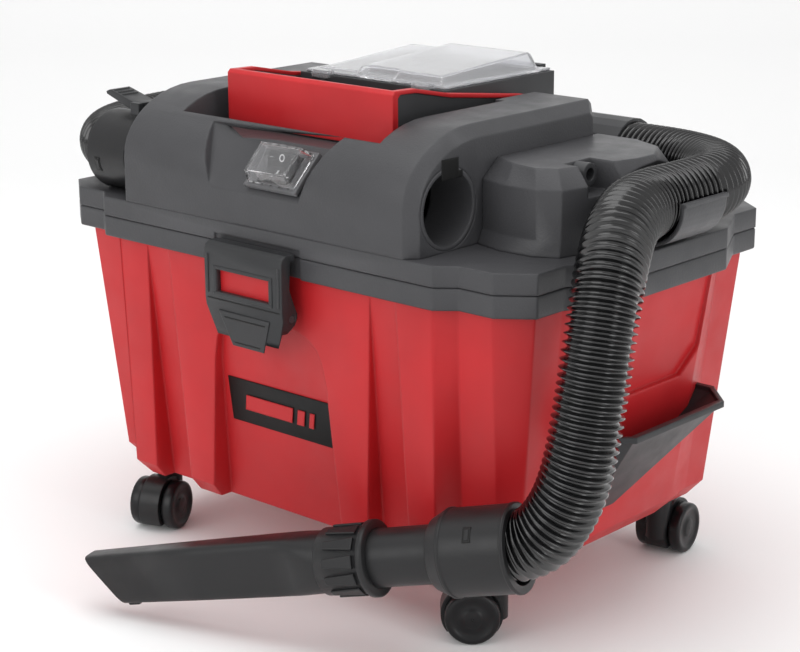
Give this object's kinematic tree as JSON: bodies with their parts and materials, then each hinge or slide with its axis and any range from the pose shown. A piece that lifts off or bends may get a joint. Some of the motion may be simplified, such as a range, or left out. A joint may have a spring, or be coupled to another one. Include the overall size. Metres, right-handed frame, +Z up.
{
  "type": "shop vacuum",
  "caption": "Toolbox-style wet and dry vacuum: lidded tank on swivel casters, latched motor head with carry handle, parts tray and blower port, and a hose ending in a crevice tool.",
  "frame": {"origin": "on the floor under the middle of the machine, its free hose and tool left out", "axes": "+X along the long side towards the accessory pocket, +Z up; the switch side faces -Y"},
  "size_m": [0.463, 0.3587, 0.3155],
  "materials": {
    "tank_red": "satin moulded plastic",
    "accent_red": "satin moulded plastic",
    "head_grey": "fine pebbled grain",
    "trim_grey": "fine satin grain",
    "rubber_black": "soft foam rubber",
    "label_black": "printed badge",
    "steel": "zinc plated",
    "aluminium": "cast",
    "clear_smoke": "milky clear plastic",
    "clear_boot": "clear soft plastic",
    "switch_white": "pale switch plastic",
    "float_white": "blow moulded",
    "filter_paper": "pleated filter cloth",
    "hose_black": "glossy corrugated plastic",
    "caster_black": "satin nylon"
  },
  "bodies": {
    "tank_body": {"tank": "tank_red", "tank_collar": "head_grey", "tank_seal": "rubber_black", "front_label": "label_black", "accessory_pocket": "trim_grey", "front_latch_pin": "steel", "rear_latch_pin": "steel"},
    "front_latch_body": {"front_latch": "trim_grey", "front_latch_window": "accent_red"},
    "rear_latch_body": {"rear_latch": "trim_grey", "rear_latch_window": "accent_red"},
    "head_body": {"head_base": "head_grey", "head_cover": "head_grey", "exhaust_cover": "head_grey", "cord_gland": "trim_grey", "blower_port": "head_grey", "inlet_port": "head_grey", "inlet_elbow": "head_grey", "release_bracket": "trim_grey", "storage_tray": "trim_grey", "lid_pin": "steel", "handle_pins": "steel", "switch_bezel": "switch_white", "switch_boot": "clear_boot", "motor": "steel", "fan_housing": "aluminium", "float_cage": "trim_grey", "cartridge_filter": "filter_paper", "rear_hose_hook": "trim_grey", "side_hose_hook": "head_grey", "base_screws": "steel", "hose": "hose_black", "port_cuff": "trim_grey", "tool_cuff": "trim_grey", "tool_pipe": "trim_grey", "crevice_tool": "trim_grey"},
    "handle_body": {"handle_cover": "accent_red", "handle_core": "trim_grey"},
    "lid_body": {"tray_lid": "clear_smoke"},
    "rocker_body": {"switch_rocker": "switch_white"},
    "release_body": {"release_lever": "trim_grey"},
    "impeller_body": {"impeller": "aluminium", "motor_shaft": "steel"},
    "float_body": {"float_ball": "float_white"},
    "caster_front_right": {"caster_hood_front_right": "caster_black", "caster_stem_front_right": "steel"},
    "wheels_front_right": {"caster_wheels_front_right": "caster_black", "caster_axle_front_right": "steel"},
    "caster_front_left": {"caster_hood_front_left": "caster_black", "caster_stem_front_left": "steel"},
    "wheels_front_left": {"caster_wheels_front_left": "caster_black", "caster_axle_front_left": "steel"},
    "caster_rear_right": {"caster_hood_rear_right": "caster_black", "caster_stem_rear_right": "steel"},
    "wheels_rear_right": {"caster_wheels_rear_right": "caster_black", "caster_axle_rear_right": "steel"},
    "caster_rear_left": {"caster_hood_rear_left": "caster_black", "caster_stem_rear_left": "steel"},
    "wheels_rear_left": {"caster_wheels_rear_left": "caster_black", "caster_axle_rear_left": "steel"}
  },
  "joints": [
    {"name": "head_lift", "type": "slide", "parent": "tank_body", "child": "head_body", "axis": [0, 0, 1], "range_m": [0, 0.09]},
    {"name": "front_latch_open", "type": "hinge", "parent": "tank_body", "child": "front_latch_body", "pos_m": [-0.0097, -0.1326, 0.1815], "axis": [1, 0, 0], "range_deg": [0, 18]},
    {"name": "rear_latch_open", "type": "hinge", "parent": "tank_body", "child": "rear_latch_body", "pos_m": [-0.0097, 0.1326, 0.1815], "axis": [-1, 0, 0], "range_deg": [0, 18]},
    {"name": "handle_swing", "type": "hinge", "parent": "head_body", "child": "handle_body", "pos_m": [-0.0097, 0.03, 0.2875], "axis": [-1, 0, 0], "range_deg": [0, 90]},
    {"name": "lid_open", "type": "hinge", "parent": "head_body", "child": "lid_body", "pos_m": [-0.0097, 0.076, 0.303], "axis": [-1, 0, 0], "range_deg": [0, 105]},
    {"name": "rocker_tilt", "type": "hinge", "parent": "head_body", "child": "rocker_body", "pos_m": [0.0028, -0.11905, 0.26405], "axis": [-1, 0, 0], "range_deg": [0, 14]},
    {"name": "release_press", "type": "hinge", "parent": "head_body", "child": "release_body", "pos_m": [-0.1347, -0.099, 0.283], "axis": [0, -1, 0], "range_deg": [0, 7], "stiffness_Nm_per_rad": 0.8},
    {"name": "impeller_spin", "type": "hinge", "parent": "head_body", "child": "impeller_body", "pos_m": [-0.0097, -0.012, 0.18], "axis": [0, 0, 1], "continuous": true},
    {"name": "float_rise", "type": "slide", "parent": "head_body", "child": "float_body", "axis": [0, 0, 1], "range_m": [0, 0.014]},
    {"name": "caster_swivel_front_right", "type": "hinge", "parent": "tank_body", "child": "caster_front_right", "pos_m": [0.1303, -0.08, 0.04], "axis": [0, 0, 1], "continuous": true},
    {"name": "wheel_spin_front_right", "type": "hinge", "parent": "caster_front_right", "child": "wheels_front_right", "pos_m": [0.12064, -0.0887, 0.016], "axis": [-0.6691, 0.7431, 0], "continuous": true},
    {"name": "caster_swivel_front_left", "type": "hinge", "parent": "tank_body", "child": "caster_front_left", "pos_m": [-0.1497, -0.08, 0.04], "axis": [0, 0, 1], "continuous": true},
    {"name": "wheel_spin_front_left", "type": "hinge", "parent": "caster_front_left", "child": "wheels_front_left", "pos_m": [-0.14525, -0.09222, 0.016], "axis": [-0.9397, -0.342, 0], "continuous": true},
    {"name": "caster_swivel_rear_right", "type": "hinge", "parent": "tank_body", "child": "caster_rear_right", "pos_m": [0.1303, 0.085, 0.04], "axis": [0, 0, 1], "continuous": true},
    {"name": "wheel_spin_rear_right", "type": "hinge", "parent": "caster_rear_right", "child": "wheels_rear_right", "pos_m": [0.12849, 0.09787, 0.016], "axis": [0.9903, 0.1392, 0], "continuous": true},
    {"name": "caster_swivel_rear_left", "type": "hinge", "parent": "tank_body", "child": "caster_rear_left", "pos_m": [-0.1497, 0.085, 0.04], "axis": [0, 0, 1], "continuous": true},
    {"name": "wheel_spin_rear_left", "type": "hinge", "parent": "caster_rear_left", "child": "wheels_rear_left", "pos_m": [-0.1432, 0.09626, 0.016], "axis": [0.866, -0.5, 0], "continuous": true}
  ]
}
